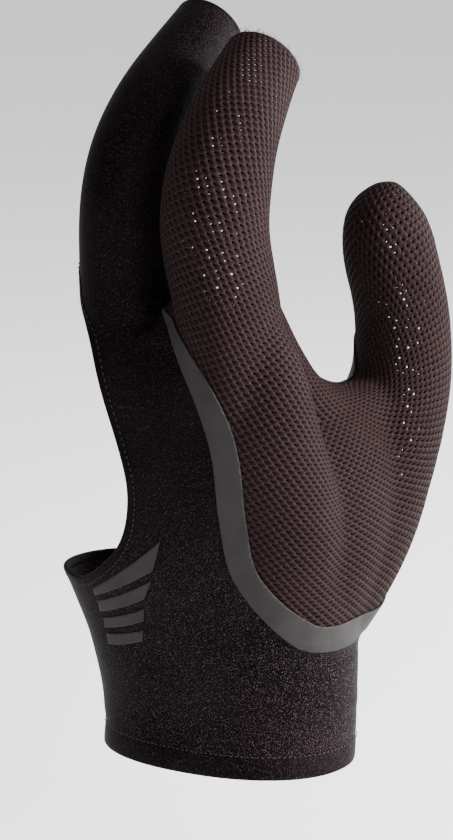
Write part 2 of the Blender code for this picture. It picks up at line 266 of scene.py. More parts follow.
def webRows():
    columns = ("height", "out", "forward", "wide", "deep", "turn")
    edge = table(
        columns,
        (1.33, 0.62, -1.08, 0.80, 0.80, 0),
        (1.21, 0.66, -0.86, 0.90, 0.90, 0),
        (1.09, 0.69, -0.59, 0.95, 0.95, 0),
        (0.98, 0.73, -0.25, 1.00, 1.00, 0),
        (0.915, 0.80, 0.22, 1.12, 1.12, 0),
        (0.91, 0.88, 0.66, 1.30, 1.30, 0),
    )
    sheet = table(
        columns,
        (0.30, 0.54, -0.08, 2.00, 1.70, 74),
        (0.50, 0.68, 0.00, 2.50, 2.15, 78),
        (0.68, 0.79, 0.06, 2.90, 2.10, 80),
        (0.84, 0.79, 0.06, 2.90, 1.75, 80),
        (0.93, 0.79, 0.05, 2.30, 1.15, 80),
    )
    for shares in (edge, sheet):
        rows = []
        for s in shares:
            sideways = (thumb["out"] * s["out"], thumb["forward"] * s["forward"])
            place = (*sideways, webFold["height"] * s["height"])
            size = (webFold["thickness"] * s["wide"], webFold["thickness"] * s["deep"])
            rows.append(dict(zip(limbColumns, (*place, *size, s["turn"], 2))))
        yield rows


def keepOuterSkin(target):
    # takes away the skins of the small pockets shut in between the limbs
    bm = bmesh.new()
    bm.from_mesh(target.data)
    waiting = set(bm.faces)
    skins = []
    while waiting:
        found = {waiting.pop()}
        edge = set(found)
        while edge:
            edge = {near for face in edge for side in face.edges for near in side.link_faces} & waiting
            waiting -= edge
            found |= edge
        skins.append(found)
    outer = max(skins, key=len)
    inner = [face for found in skins if found is not outer for face in found]
    bmesh.ops.delete(bm, geom=inner, context="FACES")
    bm.to_mesh(target.data)
    bm.free()


def makeForm():
    bm = bmesh.new()
    addLimb(bm, palmRows())
    addLimb(bm, fingerRows(indexFinger, indexShares))
    addLimb(bm, fingerRows(middleFinger, middleShares))
    addLimb(bm, thumbRows())
    addLimb(bm, crotchRows())
    for rows in webRows():
        addLimb(bm, rows)
    bmesh.ops.recalc_face_normals(bm, faces=bm.faces)
    made = newObject("form", bm)
    modifier(made, "REMESH", mode="VOXEL", voxel_size=skin["voxel"], use_smooth_shade=True)
    applyModifiers(made)
    keepOuterSkin(made)
    modifier(made, "SMOOTH", factor=0.5, iterations=skin["rounds"])
    applyModifiers(made)
    return made


# small pulls and creases of the stretched cloth: where, how wide across x y z, how far out
creases = table(
    ("x", "y", "z", "wideX", "wideY", "wideZ", "out"),
    (0.0345, 0.020, 0.143, 0.004, 0.004, 0.003, 0.0007),
    (-0.034, -0.002, 0.006, 0.010, 0.016, 0.0022, -0.0007),
    (0.030, -0.014, 0.0345, 0.012, 0.012, 0.0016, 0.0006),
    (0.033, -0.008, 0.0300, 0.012, 0.014, 0.0016, -0.0005),
    (0.033, -0.008, 0.0155, 0.012, 0.014, 0.0014, 0.0004),
    (0.033, -0.008, 0.0125, 0.012, 0.014, 0.0014, -0.0004),
    (0.043, 0.014, 0.078, 0.006, 0.010, 0.0022, 0.0005),
    (0.044, 0.014, 0.066, 0.006, 0.010, 0.0024, -0.0005),
    (0.045, 0.020, 0.119, 0.005, 0.007, 0.0016, 0.0005),
    (0.045, 0.020, 0.129, 0.005, 0.007, 0.0014, 0.0004),
)


def pullCreases(form):
    bm = bmesh.new()
    bm.from_mesh(form.data)
    bm.normal_update()
    for vert in bm.verts:
        out = 0
        for crease in creases:
            away = vert.co - rowPoint(crease)
            far = sum((away[n] / crease[key]) ** 2 for n, key in enumerate(("wideX", "wideY", "wideZ")))
            if far < 9:
                out += crease["out"] * math.exp(-far)
        if out:
            vert.co += vert.normal * out
    bm.to_mesh(form.data)
    bm.free()


# the lines that part the pieces, drawn on the back of the hand: side from the parting to the palm's
# edge, height in knuckle heights, wide as a share of the strip

seamBand = {"width": 0.0062, "proud": 0.00042, "thickness": 0.00035}
cutoutEdge = {"width": 0.0026}
hem = {"height": 0.0062}
reach = 0.3
curveSteps = 10

edgeColumns = ("side", "height", "wide")
seamLine = table(
    edgeColumns,
    (0.045, 1.095, 0.08),
    (0.235, 1.025, 0.72),
    (0.416, 0.917, 1.00),
    (0.486, 0.787, 1.00),
    (0.460, 0.639, 1.00),
    (0.460, 0.505, 1.00),
    (0.618, 0.385, 1.00),
    (0.818, 0.326, 1.00),
    (1.420, 0.296, 1.00),
)
cutoutLine = table(
    edgeColumns,
    (-1.70, 0.440, 1.00),
    (-0.92, 0.428, 1.00),
    (-0.779, 0.435, 1.00),
    (-0.582, 0.479, 1.00),
    (-0.416, 0.532, 1.00),
    (-0.299, 0.602, 1.00),
    (-0.231, 0.694, 1.00),
    (-0.252, 0.796, 1.00),
    (-0.322, 0.894, 1.00),
    (-0.442, 1.005, 1.00),
    (-0.584, 1.083, 1.00),
    (-0.720, 1.165, 1.00),
    (-1.70, 1.200, 1.00),
)
stripeLines = table(
    ("left", "low", "high", "right", "rise", "tip", "top"),
    (-0.66, 0.393, 0.411, -0.03, 0.488, 0.09, 0.565),
    (-0.64, 0.354, 0.381, -0.16, 0.412, -0.06, 0.462),
    (-0.62, 0.315, 0.340, -0.20, 0.356, -0.18, 0.387),
    (-0.61, 0.274, 0.301, -0.24, 0.305, -0.22, 0.332),
)
stripes = {"sag": 0.03, "steps": 8, "proud": 0.00022, "thickness": 0.0002}


def curve(rows):
    span = palm["width"] / 2 - parting["x"]
    points = []
    for step in range((len(rows) - 1) * curveSteps + 1):
        share = between(rows, step / curveSteps)
        x = parting["x"] + span * share["side"]
        points.append({"x": x, "z": palm["knuckleHeight"] * share["height"], "wide": share["wide"]})
    return points


def beside(points, half, extra):
    moved = []
    for number, here in enumerate(points):
        after = points[min(number + 1, len(points) - 1)]
        before = points[max(number - 1, 0)]
        run = Vector((after["x"] - before["x"], after["z"] - before["z"])).normalized()
        away = half * here["wide"] + extra
        moved.append((here["x"] - run.y * away, here["z"] + run.x * away))
    return moved


sheetMark = bpy.data.materials.new("sheetMark")
cutMark = bpy.data.materials.new("cutMark")


def newCutter(name, bm):
    cutter = newObject(name, bm)
    cutter.data.materials.append(cutMark)
    cutter.hide_render = True
    return cutter


def outlineCutter(name, points, front=-reach, back=reach):
    bm = bmesh.new()
    face = bm.faces.new([bm.verts.new((x, front, z)) for x, z in points])
    grown = bmesh.ops.extrude_face_region(bm, geom=[face])["geom"]
    far = [part for part in grown if isinstance(part, bmesh.types.BMVert)]
    bmesh.ops.translate(bm, verts=far, vec=(0, back - front, 0))
    bmesh.ops.recalc_face_normals(bm, faces=bm.faces)
    return newCutter(name, bm)


def levelCutter(name, low, high):
    return outlineCutter(name, [(-reach, low), (reach, low), (reach, high), (-reach, high)])


def tipCutter(name, rows, low, high):
    before, opening, after = (rowPoint(row) for row in rows[-3:])
    along = Vector((0, 0, 1)).rotation_difference((after - before).normalized())
    block = 0.04
    bm = bmesh.new()
    bmesh.ops.create_cube(bm, size=block)
    bmesh.ops.scale(bm, vec=((high - low) / block, 1, 1), verts=bm.verts)
    bmesh.ops.translate(bm, vec=(0, 0, block / 2), verts=bm.verts)
    bmesh.ops.rotate(bm, matrix=along.to_matrix(), verts=bm.verts)
    bmesh.ops.translate(bm, vec=((low + high) / 2, opening.y, opening.z), verts=bm.verts)
    return newCutter(name, bm)


def cutSheet(name, form, keep=(), drop=()):
    # the part of the form's skin inside all of keep and outside all of drop, as an open sheet
    sheet = bpy.data.objects.new(name, form.data.copy())
    bpy.context.scene.collection.objects.link(sheet)
    for operation, cutters in (("INTERSECT", keep), ("DIFFERENCE", drop)):
        for cutter in cutters:
            modifier(
                sheet,
                "BOOLEAN",
                operation=operation,
                object=cutter,
                solver="EXACT",
                material_mode="TRANSFER",
            )
    applyModifiers(sheet)
    marks = [slot and slot.name for slot in sheet.data.materials]
    bm = bmesh.new()
    bm.from_mesh(sheet.data)
    caps = [face for face in bm.faces if marks[face.material_index] == cutMark.name]
    bmesh.ops.delete(bm, geom=caps, context="FACES")
    bmesh.ops.remove_doubles(bm, verts=bm.verts, dist=0.00002)
    for face in bm.faces:
        face.material_index = 0
        face.smooth = True
    bm.to_mesh(sheet.data)
    bm.free()
    sheet.data.materials.clear()
    return sheet


def shifted(sheet, out):
    # moves a sheet along its own normals
    modifier(sheet, "DISPLACE", strength=out, mid_level=0)
    applyModifiers(sheet)


print("form")
form = makeForm()
pullCreases(form)
form.data.materials.append(sheetMark)
formTree = BVHTree.FromObject(form, bpy.context.evaluated_depsgraph_get())
print("form faces", len(form.data.polygons))

print("cutters")
seam = curve(seamLine)
half = seamBand["width"] / 2
bandLine = beside(seam, half, 0) + beside(seam, -half, 0)[::-1]
topCorner = [(reach, reach), (parting["x"], reach), (parting["x"], parting["crotchHeight"] + seamBand["width"])]
meshSide = beside(seam, 0, 0) + topCorner
cutout = curve(cutoutLine)

bandCutter = outlineCutter("bandCutter", bandLine)
meshCutter = outlineCutter("meshCutter", meshSide)
openingCutter = outlineCutter("openingCutter", beside(cutout, 0, -cutoutEdge["width"] / 2))
belowCutter = levelCutter("belowCutter", -reach, hem["height"] / 2)
indexPath = fingerRows(indexFinger, indexShares)
middlePath = fingerRows(middleFinger, middleShares)
indexTip = tipCutter("indexTip", indexPath, parting["x"], parting["x"] + 2 * indexFinger["width"])
middleTip = tipCutter("middleTip", middlePath, parting["x"] - 2 * middleFinger["width"], parting["x"])


# the pierced net: a flat lattice of diamond cells laid on the panel's unrolled shape
net = {
    "across": 0.00235,  # from hole to hole in a row
    "rise": 0.00105,  # from row to row
    "holeAcross": 0.00070,
    "holeRise": 0.00050,
    "dimple": 0.00007,
    "under": 0.00005,
    "thickness": 0.00050,
    "slit": 0.0005,
    "inset": 0.0002,
    "coarse": 0.055,  # share of the form's faces that is unrolled
}
thumbSlit = table(
    ("x", "y", "z", "outX", "outY"),
    (32.0, 21.0, 150.0, -0.10, 1.0),
    (32.2, 20.5, 137.0, -0.10, 1.0),
    (33.5, 24.0, 117.0, 0.00, 1.0),
    (33.7, 26.5, 102.0, 0.06, 1.0),
    (32.5, 25.0, 88.0, 0.14, 1.0),
    (29.0, 20.0, 73.0, 0.28, 0.95),
    (25.0, 14.0, 57.0, 0.50, 0.86),
    (20.0, 5.0, 42.0, 0.74, 0.67),
    (18.0, 0.0, 22.0, 0.80, 0.60),
)
indexSlit = table(
    ("x", "y", "z", "outX", "outY"),
    (19.5, -10.0, 186.0, 0.0, 1.0),
    (19.5, -20.0, 170.0, 0.0, 1.0),
    (19.5, -34.0, 150.0, 0.0, 1.0),
    (19.5, -36.0, 130.0, 0.0, 1.0),
    (19.5, -32.0, 112.0, 0.0, 1.0),
    (19.5, -28.0, 92.0, 0.0, 1.0),
)
millimetre = 0.001


def slitLine(rows, step):
    # where a slit's rays leave the form
    found = []
    for row in sampled(rows, step / millimetre):
        origin = rowPoint(row) * millimetre
        place, normal, face, far = formTree.ray_cast(origin, Vector((row["outX"], row["outY"], 0)))
        if place:
            found.append(place)
    return found


def slitCutter(name, rows):
    bm = bmesh.new()
    inner, outer = [], []
    for row in sampled(rows, 3):
        start = rowPoint(row) * millimetre
        inner.append(bm.verts.new(start))
        outer.append(bm.verts.new(start + Vector((row["outX"], row["outY"], 0)).normalized() * 0.06))
    edges = [bm.edges.new(pair) for line in (inner, outer) for pair in zip(line, line[1:])]
    bmesh.ops.bridge_loops(bm, edges=edges)
    bmesh.ops.recalc_face_normals(bm, faces=bm.faces)
    cutter = newCutter(name, bm)
    modifier(cutter, "SOLIDIFY", thickness=net["slit"], offset=0)
    applyModifiers(cutter)
    return cutter


def unrolled(sheet):
    # the sheet's own places, and its flat places in metres with up the hand along the second axis
    bpy.ops.object.select_all(action="DESELECT")
    bpy.context.view_layer.objects.active = sheet
    sheet.select_set(True)
    bpy.ops.object.mode_set(mode="EDIT")
    bpy.ops.mesh.select_all(action="SELECT")
    bpy.ops.mesh.quads_convert_to_tris()
    bpy.ops.uv.unwrap(method="ANGLE_BASED", margin=0)
    bpy.ops.uv.unwrap(method="MINIMUM_STRETCH", margin=0, iterations=30)
    bpy.ops.object.mode_set(mode="OBJECT")
    mesh = sheet.data
    flat = [None] * len(mesh.vertices)
    for loop, spot in zip(mesh.loops, mesh.uv_layers.active.data):
        flat[loop.vertex_index] = Vector((spot.uv.x, spot.uv.y, 0))
    faces = [tuple(polygon.vertices) for polygon in mesh.polygons]
    solid = [vert.co.copy() for vert in mesh.vertices]
    real = unrolledArea = 0
    upward = Vector((0, 0, 0))
    for face in faces:
        a, b, c = (flat[n] for n in face)
        p, q, r = (solid[n] for n in face)
        area = (q - p).cross(r - p).length
        turned = (b - a).cross(c - a).z
        real += area
        unrolledArea += abs(turned)
        onBack = (q - p).cross(r - p).normalized().y < -0.6 and 0.05 < p.z < 0.11
        if onBack and abs(turned) > 1e-12:
            rise = (b - a) * (r.z - p.z) - (c - a) * (q.z - p.z)
            upward += Vector((-rise.y, rise.x, 0)) / turned * area
    size = math.sqrt(real / unrolledArea)
    turn = Matrix.Rotation(math.pi / 2 - math.atan2(upward.y, upward.x), 3, "Z")
    flat = [turn @ spot * size for spot in flat]
    return solid, flat, faces


def makeLattice(solid, flat, faces):
    flatTree = BVHTree.FromPolygons(flat, faces)
    low = Vector([min(spot[n] for spot in flat) for n in range(3)])
    high = Vector([max(spot[n] for spot in flat) for n in range(3)])
    middle = (low + high) / 2
    reachOut = (high - low) / 2
    cells = math.ceil(reachOut.x / net["across"] + reachOut.y / net["rise"] / 2) * 2 + 4
    bm = bmesh.new()
    bmesh.ops.create_grid(bm, x_segments=cells, y_segments=cells, size=cells / 2)
    for vert in bm.verts:
        i, j = vert.co.x, vert.co.y
        vert.co = middle + Vector(((i - j) * net["across"] / 2, (i + j) * net["rise"], 0))

    def outside(spot):
        return flatTree.find_nearest(spot)[3]

    gone = []
    for face in bm.faces:
        centre = face.calc_center_median()
        offSide = abs(centre.x - middle.x) > reachOut.x + net["across"]
        offEnd = abs(centre.y - middle.y) > reachOut.y + net["rise"] * 2
        if offSide or offEnd or outside(centre) > net["rise"] * 0.9:
            gone.append(face)
    bmesh.ops.delete(bm, geom=gone, context="FACES")
    bmesh.ops.subdivide_edges(bm, edges=bm.edges, cuts=1, use_grid_fill=False)
    whole = [face for face in bm.faces if all(outside(vert.co) < 1e-6 for vert in face.verts)]
    centres = {face: face.calc_center_median() for face in whole}
    bmesh.ops.inset_individual(bm, faces=whole, thickness=net["inset"])
    rim = bm.verts.layers.float.new("rim")
    for face in whole:
        centre = centres[face]
        for vert in face.verts:
            away = vert.co - centre
            angle = math.atan2(away.y / net["rise"], away.x / net["across"] * 2)
            across = math.cos(angle) * net["holeAcross"] / 2
            rise = math.sin(angle) * net["holeRise"] / 2
            vert.co = centre + Vector((across, rise, 0))
            vert[rim] = 1
    bmesh.ops.delete(bm, geom=whole, context="FACES")
    print("holes", len(whole))

    weave = bm.loops.layers.uv.new("weave")
    for face in bm.faces:
        for loop in face.loops:
            spot = loop.vert.co
            loop[weave].uv = (spot.x / net["across"], spot.y / net["rise"])
    outward = 0
    for vert in bm.verts:
        spot, facing, number, far = flatTree.find_nearest(vert.co)
        a, b, c = (flat[n] for n in faces[number])
        p, q, r = (solid[n] for n in faces[number])
        turned = (b - a).cross(c - a).z
        shareB = (spot - a).cross(c - a).z / turned
        shareC = (b - a).cross(spot - a).z / turned
        place = p + (q - p) * shareB + (r - p) * shareC
        nearest, normal, number, far = formTree.find_nearest(place)
        vert.co = nearest - normal * (net["under"] + net["dimple"] * vert[rim])
    bmesh.ops.remove_doubles(bm, verts=bm.verts, dist=0.00003)
    bmesh.ops.dissolve_degenerate(bm, edges=bm.edges, dist=0.00001)
    bm.normal_update()
    for face in list(bm.faces)[::50]:
        centre = face.calc_center_median()
        outward += face.normal.dot(formTree.find_nearest(centre)[1])
    if outward < 0:
        bmesh.ops.reverse_faces(bm, faces=bm.faces)
    for face in bm.faces:
        face.smooth = True
    return bm


print("net")
coarse = bpy.data.objects.new("coarse", form.data.copy())
bpy.context.scene.collection.objects.link(coarse)
modifier(coarse, "DECIMATE", ratio=net["coarse"])
applyModifiers(coarse)
indexFin = slitCutter("indexFin", indexSlit)
thumbFin = slitCutter("thumbFin", thumbSlit)
netSheet = cutSheet("netSheet", coarse, keep=(meshCutter,), drop=(indexTip, indexFin, thumbFin))
lattice = makeLattice(*unrolled(netSheet))
meshPanel = newObject("meshPanel", lattice)
print("net faces", len(meshPanel.data.polygons))


# strips, folds and seams swept along lines on the form


def evenly(points, step, closed):
    line = points + points[:1] if closed else points
    runs = [(after - before).length for before, after in zip(line, line[1:])]
    total = sum(runs)
    count = max(3, round(total / step))
    found, number, gone = [], 0, 0
    for part in range(count if closed else count + 1):
        goal = total * part / count
        while number < len(runs) - 1 and gone + runs[number] < goal:
            gone += runs[number]
            number += 1
        share = min(1, (goal - gone) / max(runs[number], 1e-9))
        found.append(line[number].lerp(line[number + 1], share))
    return found


def eased(points, rounds, closed):
    for turn in range(rounds):
        moved = []
        for number, here in enumerate(points):
            if not closed and number in (0, len(points) - 1):
                moved.append(here.copy())
                continue
            before, after = points[number - 1], points[(number + 1) % len(points)]
            moved.append(here * 0.5 + (before + after) * 0.25)
        points = moved
    return points


def borderLoops(sheet):
    # each border's points in order, with the cloth on the left of their run as seen from outside
    bm = bmesh.new()
    bm.from_mesh(sheet.data)
    borders = [edge for edge in bm.edges if edge.is_boundary]
    edges = set(borders)
    loops = []
    for first in borders:
        if first not in edges:
            continue
        edges.discard(first)
        corner = first.link_loops[0]
        start, here = corner.vert, corner.link_loop_next.vert
        line = [start.co.copy(), here.co.copy()]
        while here != start:
            onward = [edge for edge in here.link_edges if edge in edges]
            if not onward:
                break
            edges.discard(onward[0])
            here = onward[0].other_vert(here)
            line.append(here.co.copy())
        loops.append(line[:-1])
    bm.free()
    return loops


def facing(points, closed):
    return eased([formTree.find_nearest(point)[1] for point in points], 4, closed)


def sweep(bm, points, normals, section, closed, ends=1.0):
    # section points are across the line on the cloth, and out of the cloth
    rings = []
    count = len(points)
    for number, here in enumerate(points):
        before = points[number - 1] if closed or number else here
        after = points[(number + 1) % count] if closed or number < count - 1 else here
        along = (after - before).normalized()
        out = normals[number]
        out = (out - along * out.dot(along)).normalized()
        across = along.cross(out)
        size = ends if not closed and number in (0, count - 1) else 1
        ring = bmesh.ops.create_circle(bm, segments=len(section), radius=1)["verts"]
        for vert, (side, rise) in zip(ring, section):
            vert.co = here + across * side * size + out * rise * size
        rings.append(ring)
    for lower, upper in zip(rings, rings[1:]):
        bridge(bm, lower, upper)
    if closed:
        bridge(bm, rings[-1], rings[0])
    else:
        bm.faces.new(rings[0])
        bm.faces.new(rings[-1])


def finished(name, bm, material):
    bmesh.ops.recalc_face_normals(bm, faces=bm.faces)
    for face in bm.faces:
        face.smooth = True
    made = newObject(name, bm)
    made.data.materials.append(material)
    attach(made, "root")
    return made


def pillow(wide, top, bottom, parts=20, round=3.0):
    # a flat section with rounded sides
    section = []
    for part in range(parts):
        angle = 2 * math.pi * part / parts
        side = math.copysign(abs(math.cos(angle)) ** (2 / round), math.cos(angle)) * wide / 2
        rise = math.copysign(abs(math.sin(angle)) ** (2 / round), math.sin(angle))
        section.append((side, (top + bottom) / 2 + rise * (top - bottom) / 2))
    return section


def addStitches(bm, points, normals, closed, long, thick, zigzag=0.0, lift=0.0):
    for number, here in enumerate(points):
        if not closed and number == len(points) - 1:
            break
        after = points[(number + 1) % len(points)]
        out = normals[number]
        along = after - here
        along = (along - out * along.dot(out)).normalized()
        across = out.cross(along)
        if zigzag:
            turned = Matrix.Rotation(zigzag if number % 2 else -zigzag, 3, out)
            along, across = turned @ along, turned @ across
        lying = Matrix((along * long / 2, across * thick / 2, out * thick / 2)).transposed().to_4x4()
        lying.translation = here + out * lift
        bmesh.ops.create_uvsphere(bm, u_segments=7, v_segments=5, radius=1, matrix=lying)


# materials


class Wire:
    def __init__(self, tree, socket=None):
        self.tree = tree
        self.socket = socket

    def node(self, kind, inputs=None, output=0, **settings):
        made = self.tree.nodes.new(kind)
        for name, value in settings.items():
            setattr(made, name, value)
        for name, value in (inputs or {}).items():
            self.feed(made.inputs[name], value)
        return Wire(self.tree, made.outputs[output])

    def feed(self, target, value):
        if isinstance(value, Wire):
            self.tree.links.new(value.socket, target)
        else:
            target.default_value = value

    def maths(self, operation, *values):
        return self.node("ShaderNodeMath", dict(enumerate(values)), operation=operation)

    def __add__(self, other):
        return self.maths("ADD", self, other)

    def __radd__(self, other):
        return self.maths("ADD", other, self)

    def __sub__(self, other):
        return self.maths("SUBTRACT", self, other)

    def __rsub__(self, other):
        return self.maths("SUBTRACT", other, self)

    def __mul__(self, other):
        return self.maths("MULTIPLY", self, other)

    def __rmul__(self, other):
        return self.maths("MULTIPLY", other, self)

    def __truediv__(self, other):
        return self.maths("DIVIDE", self, other)

    def ramp(self, low, high):
        return self.node(
            "ShaderNodeMapRange",
            {"Value": self, "From Min": low, "From Max": high},
            interpolation_type="SMOOTHSTEP",
        )

    def tint(self, dark, light):
        return self.node("ShaderNodeMix", {0: self, 6: dark, 7: light}, output=2, data_type="RGBA")


def newMaterial(name, roughness, gloss):
    material = bpy.data.materials.new(name)
    material.use_nodes = True
    shader = material.node_tree.nodes["Principled BSDF"]
    shader.inputs["Roughness"].default_value = roughness
    shader.inputs["Specular IOR Level"].default_value = gloss
    return material, shader, Wire(material.node_tree)


def bumped(wire, height, distance, strength=1.0):
    return wire.node("ShaderNodeBump", {"Height": height, "Distance": distance, "Strength": strength})


# lycra colours: dark and light are the cloth's own tone, mixed at random; the bright speck colour is a painted
# highlight, small dots in the base colour standing in for the knit's glints
lycraLook = {
    "dark": (0.0010, 0.0006, 0.0008, 1),
    "light": (0.0030, 0.0017, 0.0022, 1),
    "paintedGlint": (0.060, 0.042, 0.044, 1),
    "cuffTop": (0.040, 0.085),
    "shadeAboveCuffShare": 0.62,
    "glintsPerMetre": 4000,
    "glintShare": 0.56,
    "knitPerMetre": 2100,
}


def lycraMaterial(name, glintStrength):
    material, shader, wire = newMaterial(name, 0.50, 0.015)
    place = wire.node("ShaderNodeTexCoord", output="Object")
    cloud = wire.node("ShaderNodeTexNoise", {"Vector": place, "Scale": 45.0, "Detail": 3.0})
    dots = wire.node(
        "ShaderNodeTexVoronoi",
        {"Vector": place, "Scale": lycraLook["knitPerMetre"], "Randomness": 0.35},
    )
    glintGrains = wire.node(
        "ShaderNodeTexNoise",
        {"Vector": place, "Scale": lycraLook["glintsPerMetre"], "Detail": 1.0},
    )
    # painted light: the painted glints thin out with height above the cuff, so the cuff reads as lit and the
    # fingers and palm as shaded
    apart = wire.node("ShaderNodeSeparateXYZ", {"Vector": place})
    shadeAboveCuff = Wire(wire.tree, apart.socket.node.outputs["Z"]).ramp(*lycraLook["cuffTop"])
    glintMask = glintGrains.ramp(lycraLook["glintShare"], 0.74) * (1 - lycraLook["shadeAboveCuffShare"] * shadeAboveCuff) * glintStrength
    base = cloud.ramp(0.35, 0.7).tint(lycraLook["dark"], lycraLook["light"])
    # painted highlight: the bright glint dots are mixed into the base colour
    wire.feed(shader.inputs["Base Color"], glintMask.tint(base, lycraLook["paintedGlint"]))
    wire.feed(shader.inputs["Roughness"], 0.46 + 0.12 * dots)
    wire.feed(shader.inputs["Normal"], bumped(wire, 1 - dots.ramp(0.0, 0.75), 0.00008, 0.8))
    return material


# net colours: dark is the groove colour, partly the yarn's tone and partly painted shade; strand is the yarn's
# lighter tone; glint is a painted highlight
netLook = {
    "dark": (0.0028, 0.0014, 0.0015, 1),
    "strand": (0.0150, 0.0078, 0.0080, 1),
    "glint": (0.054, 0.036, 0.037, 1),
}


def netMaterial():
    material, shader, wire = newMaterial("meshKnit", 0.72, 0.03)
    place = wire.node("ShaderNodeTexCoord", output="Object")
    weave = wire.node("ShaderNodeUVMap", uv_map="weave")
    apart = wire.node("ShaderNodeSeparateXYZ", {"Vector": weave})
    column = Wire(wire.tree, apart.socket.node.outputs["X"])
    line = Wire(wire.tree, apart.socket.node.outputs["Y"])
    slantUp = wire.maths("COSINE", (column + line / 2) * (2 * math.pi))
    slantDown = wire.maths("COSINE", (column - line / 2) * (2 * math.pi))
    strand = 0 - wire.maths("MINIMUM", slantUp, slantDown)
    threads = wire.node(
        "ShaderNodeTexNoise",
        {"Vector": place, "Scale": 2600.0, "Detail": 2.0, "Roughness": 0.7},
    )
    cloud = wire.node("ShaderNodeTexNoise", {"Vector": place, "Scale": 60.0, "Detail": 2.0})
    # partly painted shade: the colour is darker in the grooves between the strand ridges and lighter on the
    # ridges, with random tone from the thread and cloud noise
    light = strand.ramp(-0.3, 1.0) * 0.55 + threads.ramp(0.35, 0.75) * 0.5 + cloud.ramp(0.3, 0.7) * 0.15
    base = light.tint(netLook["dark"], netLook["strand"])
    # painted highlight: glint colour on the strand ridges where the thread noise peaks
    glints = threads.ramp(0.62, 0.78) * strand.ramp(0.0, 1.0)
    wire.feed(shader.inputs["Base Color"], glints.tint(base, netLook["glint"]))
    wire.feed(shader.inputs["Roughness"], 0.82 - 0.2 * strand.ramp(0.0, 1.0))
    height = strand.ramp(-0.6, 1.0) + threads * 0.5
    wire.feed(shader.inputs["Normal"], bumped(wire, height, 0.00007, 0.8))
    return material


tapeLook = {"dark": (0.0112, 0.0098, 0.0100, 1), "light": (0.0168, 0.0149, 0.0151, 1)}


def tapeMaterial(name):
    material, shader, wire = newMaterial(name, 0.6, 0.10)
    place = wire.node("ShaderNodeTexCoord", output="Object")
    cloud = wire.node("ShaderNodeTexNoise", {"Vector": place, "Scale": 140.0, "Detail": 4.0})
    grain = wire.node("ShaderNodeTexVoronoi", {"Vector": place, "Scale": 2400.0, "Randomness": 0.6})
    light = cloud.ramp(0.3, 0.7) * 0.75 + grain * 0.35
    wire.feed(shader.inputs["Base Color"], light.tint(tapeLook["dark"], tapeLook["light"]))
    wire.feed(shader.inputs["Roughness"], 0.55 + 0.12 * cloud)
    wire.feed(shader.inputs["Normal"], bumped(wire, grain, 0.00006, 0.6))
    return material


def threadMaterial(name, colour, roughness):
    material, shader, wire = newMaterial(name, roughness, 0.08)
    place = wire.node("ShaderNodeTexCoord", output="Object")
    twist = wire.node("ShaderNodeTexNoise", {"Vector": place, "Scale": 5200.0, "Detail": 2.0})
    darker = tuple(channel * 0.6 for channel in colour[:3]) + (1,)
    wire.feed(shader.inputs["Base Color"], twist.ramp(0.35, 0.7).tint(darker, colour))
    wire.feed(shader.inputs["Normal"], bumped(wire, twist, 0.00005, 0.7))
    return material


print("materials")
# the folds get fewer painted glints than the body
lycra = lycraMaterial("blackLycra", 1.0)
lycraEdge = lycraMaterial("lycraFold", 0.55)
meshKnit = netMaterial()
greyTape = tapeMaterial("greyTape")
thread = threadMaterial("blackThread", (0.030, 0.025, 0.027, 1), 0.5)
fibre = threadMaterial("knitFibre", (0.085, 0.066, 0.066, 1), 0.7)

print("net pieces")
netSplit = {"sleeveLow": 0.1125, "sleeveFar": 0.004, "thumbLow": 0.086, "thumbNear": 0.006}
modifier(meshPanel, "SOLIDIFY", thickness=net["thickness"], offset=-1, use_rim=True)
applyModifiers(meshPanel)


def netPart(centre):
    if centre.z > netSplit["sleeveLow"] and centre.y < netSplit["sleeveFar"]:
        return "meshIndexSleeve"
    if centre.z > netSplit["thumbLow"] and centre.y > netSplit["thumbNear"]:
        return "meshThumb"
    return "meshPalm"


netNormals = [corner.vector.copy() for corner in meshPanel.data.vertex_normals]
for name in ("meshIndexSleeve", "meshThumb", "meshPalm"):
    bm = bmesh.new()
    bm.from_mesh(meshPanel.data)
    bm.verts.ensure_lookup_table()
    keptNormal = bm.verts.layers.float_vector.new("kept")
    for vert, normal in zip(bm.verts, netNormals):
        vert[keptNormal] = normal
    others = [face for face in bm.faces if netPart(face.calc_center_median()) != name]
    bmesh.ops.delete(bm, geom=others, context="FACES")
    normals = [vert[keptNormal].copy() for vert in bm.verts]
    bm.verts.layers.float_vector.remove(keptNormal)
    part = newObject(name, bm)
    part.data.materials.append(meshKnit)
    part.data.normals_split_custom_set_from_vertices(normals)
    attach(part, "root")
    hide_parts("mesh_panel")
    print(name, sum(len(face.vertices) - 2 for face in part.data.polygons))
bpy.data.objects.remove(meshPanel)

print("lycra")
cloth = {"thickness": 0.0010}
lycraBody = cutSheet("lycraBody", form, drop=(meshCutter, openingCutter, belowCutter, middleTip))
loops = borderLoops(lycraBody)
lycraBody.data.materials.append(lycra)
modifier(lycraBody, "SOLIDIFY", thickness=cloth["thickness"], offset=-1)
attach(lycraBody, "root")
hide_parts("lycra_body")


def loopNear(spot):
    # the border that comes nearest to a place
    def far(line):
        return min((point - Vector(spot)).length for point in line)

    return min(loops, key=far)


print("folds")
foldStep = 0.0010
cutoutBorder = loopNear((-0.004, -0.040, 0.075))
cutoutPath = eased(evenly(cutoutBorder, foldStep, True), 6, True)
cutoutFacing = facing(cutoutPath, True)
bm = bmesh.new()
sweep(bm, cutoutPath, cutoutFacing, pillow(cutoutEdge["width"], 0.00022, -0.00118, 20, 3.2), True)
cutoutBinding = finished("cutoutBinding", bm, lycraEdge)
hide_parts("cutout_binding")

